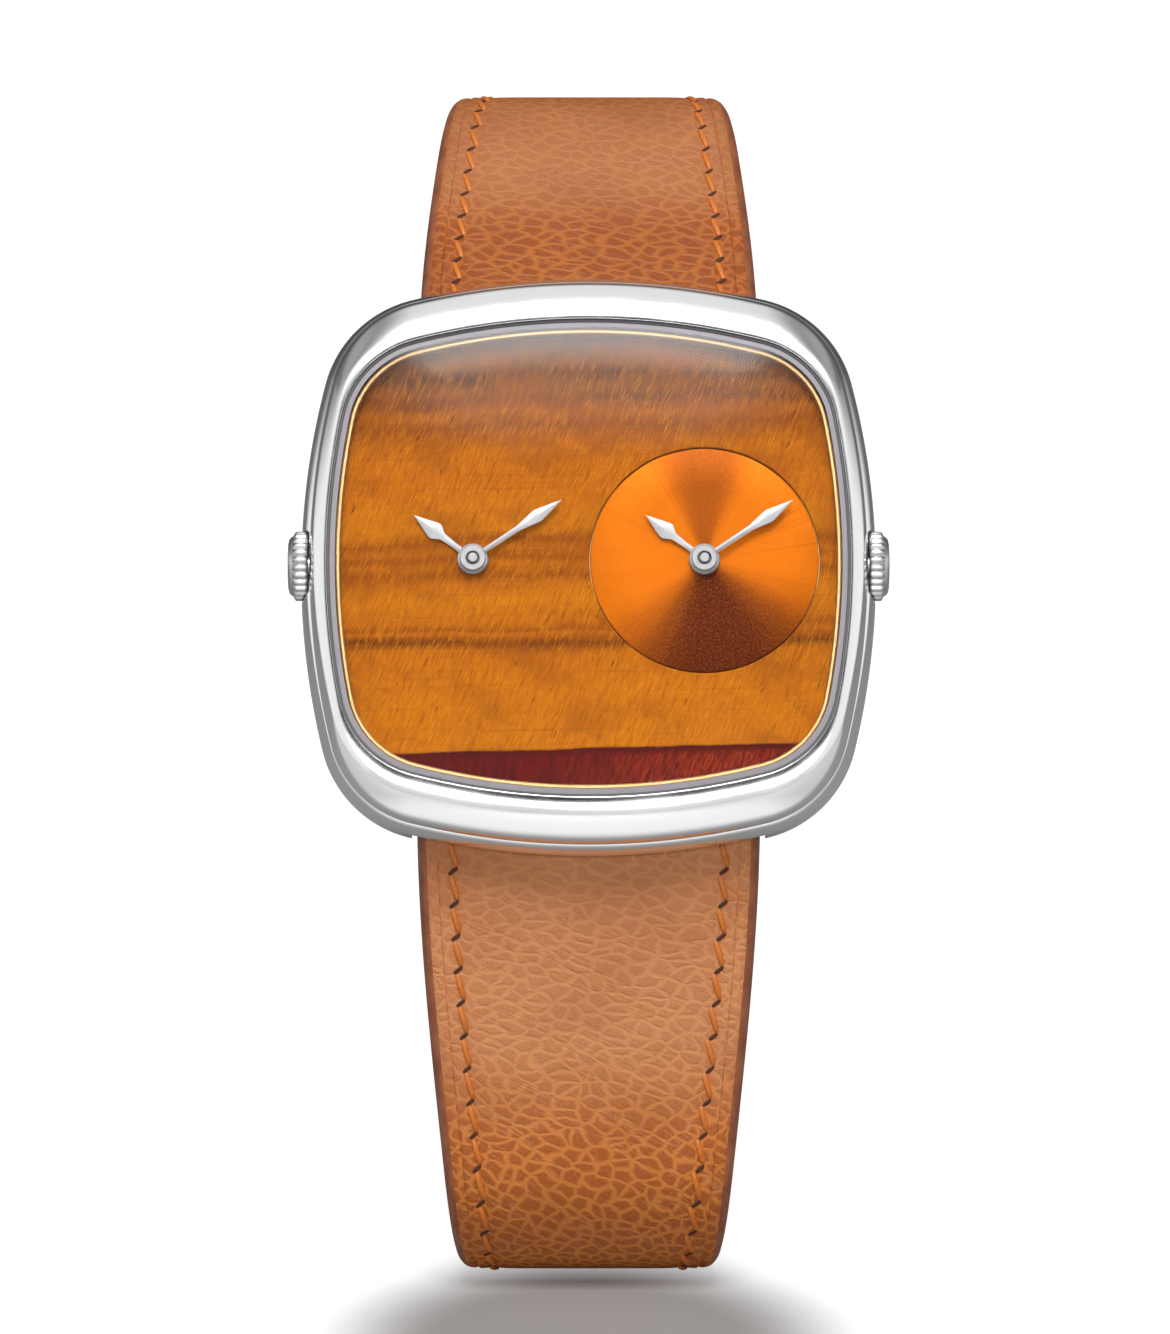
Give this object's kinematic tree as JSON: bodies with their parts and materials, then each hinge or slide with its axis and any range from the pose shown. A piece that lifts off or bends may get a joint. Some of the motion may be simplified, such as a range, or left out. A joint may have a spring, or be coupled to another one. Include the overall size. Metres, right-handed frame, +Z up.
{
  "type": "wrist watch",
  "caption": "Cushion cased wrist watch with a banded stone dial, two pairs of hands, crowns on both flanks and a leather strap closed into a loop by a tang buckle.",
  "frame": {"origin": "middle of the flat underside of the strap, where the closed loop stands on a table", "axes": "+Z up from the table, +X to the right of the dial, -Y out of the front of the loop, where the dial leans back from upright"},
  "size_m": [0.0386, 0.0661, 0.0749],
  "materials": {
    "polished_steel": "mirror polished steel",
    "back_steel": "satin",
    "sapphire": "clear polished",
    "seal_rubber": "matte",
    "flange_brass": "gilt satin",
    "tiger_eye": "polished banded stone",
    "small_dial_copper": "radially brushed",
    "movement_brass": "gilt matte",
    "holder_plastic": "matte",
    "bridge_nickel": "satin nickel",
    "motor_steel": "plain",
    "coil_copper": "enamelled wire",
    "board_green": "solder mask",
    "hand_steel": "faceted polish",
    "crown_steel": "polished",
    "bar_steel": "drawn",
    "strap_leather": "pebbled tan calf",
    "strap_lining": "smooth calf",
    "buckle_steel": "polished"
  },
  "bodies": {
    "case": {"case_body": "polished_steel", "crystal": "sapphire", "crystal_gasket": "seal_rubber", "dial_flange": "flange_brass", "stone_dial": "tiger_eye", "small_dial": "small_dial_copper", "dial_plate": "movement_brass", "movement_holder": "holder_plastic", "case_back": "back_steel", "case_back_gasket": "seal_rubber", "case_back_screws": "back_steel", "upper_spring_bar": "bar_steel", "lower_spring_bar": "bar_steel", "left_main_plate": "movement_brass", "left_train_bridge": "bridge_nickel", "left_bridge_screws": "motor_steel", "left_battery": "bridge_nickel", "left_coil": "coil_copper", "left_stator": "motor_steel", "left_circuit_board": "board_green", "left_crown_tube": "crown_steel", "right_main_plate": "movement_brass", "right_train_bridge": "bridge_nickel", "right_bridge_screws": "motor_steel", "right_battery": "bridge_nickel", "right_coil": "coil_copper", "right_stator": "motor_steel", "right_circuit_board": "board_green", "right_crown_tube": "crown_steel"},
    "left_centre": {"left_centre_wheel": "movement_brass", "left_minute_hand": "hand_steel"},
    "left_hour": {"left_hour_wheel": "movement_brass", "left_hour_hand": "hand_steel"},
    "left_minute_train": {"left_minute_wheel": "movement_brass"},
    "left_intermediate": {"left_intermediate_wheel": "movement_brass"},
    "left_rotor_body": {"left_rotor": "motor_steel"},
    "left_crown_slider": {"left_crown_seal": "seal_rubber"},
    "left_crown_turner": {"left_crown": "crown_steel", "left_stem": "crown_steel"},
    "right_centre": {"right_centre_wheel": "movement_brass", "right_minute_hand": "hand_steel"},
    "right_hour": {"right_hour_wheel": "movement_brass", "right_hour_hand": "hand_steel"},
    "right_minute_train": {"right_minute_wheel": "movement_brass"},
    "right_intermediate": {"right_intermediate_wheel": "movement_brass"},
    "right_rotor_body": {"right_rotor": "motor_steel"},
    "right_crown_slider": {"right_crown_seal": "seal_rubber"},
    "right_crown_turner": {"right_crown": "crown_steel", "right_stem": "crown_steel"},
    "lower_strap": {"lower_strap_leather": "strap_leather", "lower_strap_lining": "strap_lining"},
    "upper_strap": {"upper_strap_leather": "strap_leather", "upper_strap_lining": "strap_lining", "fixed_keeper": "strap_leather", "buckle_pin": "bar_steel"},
    "buckle": {"buckle_frame": "buckle_steel"},
    "tongue": {"buckle_tongue": "buckle_steel"},
    "keeper": {"sliding_keeper": "strap_leather"}
  },
  "joints": [
    {"name": "left_minute_turn", "type": "hinge", "parent": "case", "child": "left_centre", "pos_m": [-0.0074, -0.01967, 0.04733], "axis": [0, -0.9272, 0.3746], "continuous": true},
    {"name": "left_hour_turn", "type": "hinge", "parent": "case", "child": "left_hour", "pos_m": [-0.0074, -0.01967, 0.04733], "axis": [0, -0.9272, 0.3746], "continuous": true},
    {"name": "left_minute_wheel_turn", "type": "hinge", "parent": "case", "child": "left_minute_train", "pos_m": [-0.0048, -0.02023, 0.04594], "axis": [0, -0.9272, 0.3746], "continuous": true},
    {"name": "left_intermediate_turn", "type": "hinge", "parent": "case", "child": "left_intermediate", "pos_m": [-0.00822, -0.02081, 0.04451], "axis": [0, -0.9272, 0.3746], "continuous": true},
    {"name": "left_rotor_turn", "type": "hinge", "parent": "case", "child": "left_rotor_body", "pos_m": [-0.01025, -0.02108, 0.04383], "axis": [0, -0.9272, 0.3746], "continuous": true},
    {"name": "left_crown_pull", "type": "slide", "parent": "case", "child": "left_crown_slider", "axis": [-1, 0, 0], "range_m": [0, 0.001]},
    {"name": "left_crown_turn", "type": "hinge", "parent": "left_crown_slider", "child": "left_crown_turner", "pos_m": [-0.018, -0.02022, 0.04756], "axis": [-1, 0, 0], "continuous": true},
    {"name": "right_minute_turn", "type": "hinge", "parent": "case", "child": "right_centre", "pos_m": [0.0074, -0.01967, 0.04733], "axis": [0, -0.9272, 0.3746], "continuous": true},
    {"name": "right_hour_turn", "type": "hinge", "parent": "case", "child": "right_hour", "pos_m": [0.0074, -0.01967, 0.04733], "axis": [0, -0.9272, 0.3746], "continuous": true},
    {"name": "right_minute_wheel_turn", "type": "hinge", "parent": "case", "child": "right_minute_train", "pos_m": [0.0048, -0.01911, 0.04872], "axis": [0, -0.9272, 0.3746], "continuous": true},
    {"name": "right_intermediate_turn", "type": "hinge", "parent": "case", "child": "right_intermediate", "pos_m": [0.00822, -0.01853, 0.05015], "axis": [0, -0.9272, 0.3746], "continuous": true},
    {"name": "right_rotor_turn", "type": "hinge", "parent": "case", "child": "right_rotor_body", "pos_m": [0.01025, -0.01825, 0.05084], "axis": [0, -0.9272, 0.3746], "continuous": true},
    {"name": "right_crown_pull", "type": "slide", "parent": "case", "child": "right_crown_slider", "axis": [1, 0, 0], "range_m": [0, 0.001]},
    {"name": "right_crown_turn", "type": "hinge", "parent": "right_crown_slider", "child": "right_crown_turner", "pos_m": [0.018, -0.02022, 0.04756], "axis": [1, 0, 0], "continuous": true},
    {"name": "lower_strap_swing", "type": "hinge", "parent": "case", "child": "lower_strap", "pos_m": [0, -0.02462, 0.0324], "axis": [1, 0, 0], "range_deg": [-6.41, 12.82], "deforming": ["lower_strap_leather", "lower_strap_lining"]},
    {"name": "upper_strap_swing", "type": "hinge", "parent": "case", "child": "upper_strap", "pos_m": [0, -0.01286, 0.06151], "axis": [1, 0, 0], "range_deg": [0, 30]},
    {"name": "buckle_swing", "type": "hinge", "parent": "upper_strap", "child": "buckle", "pos_m": [0, 0.03039, 0.03048], "axis": [1, 0, 0], "range_deg": [0, 12]},
    {"name": "tongue_lift", "type": "hinge", "parent": "buckle", "child": "tongue", "pos_m": [0, 0.03039, 0.03048], "axis": [1, 0, 0], "range_deg": [0, 15]},
    {"name": "keeper_slide", "type": "hinge", "parent": "upper_strap", "child": "keeper", "pos_m": [0, -0.02462, 0.0324], "axis": [1, 0, 0], "range_deg": [-2.5, 5]}
  ],
  "couplings": [
    {"joint": "left_hour_turn", "follows": "left_minute_turn", "ratio": 0.083333},
    {"joint": "left_minute_wheel_turn", "follows": "left_minute_turn", "ratio": -0.33333},
    {"joint": "left_intermediate_turn", "follows": "left_minute_turn", "ratio": -6},
    {"joint": "left_rotor_turn", "follows": "left_minute_turn", "ratio": 30},
    {"joint": "right_hour_turn", "follows": "right_minute_turn", "ratio": 0.083333},
    {"joint": "right_minute_wheel_turn", "follows": "right_minute_turn", "ratio": -0.33333},
    {"joint": "right_intermediate_turn", "follows": "right_minute_turn", "ratio": -6},
    {"joint": "right_rotor_turn", "follows": "right_minute_turn", "ratio": 30}
  ]
}
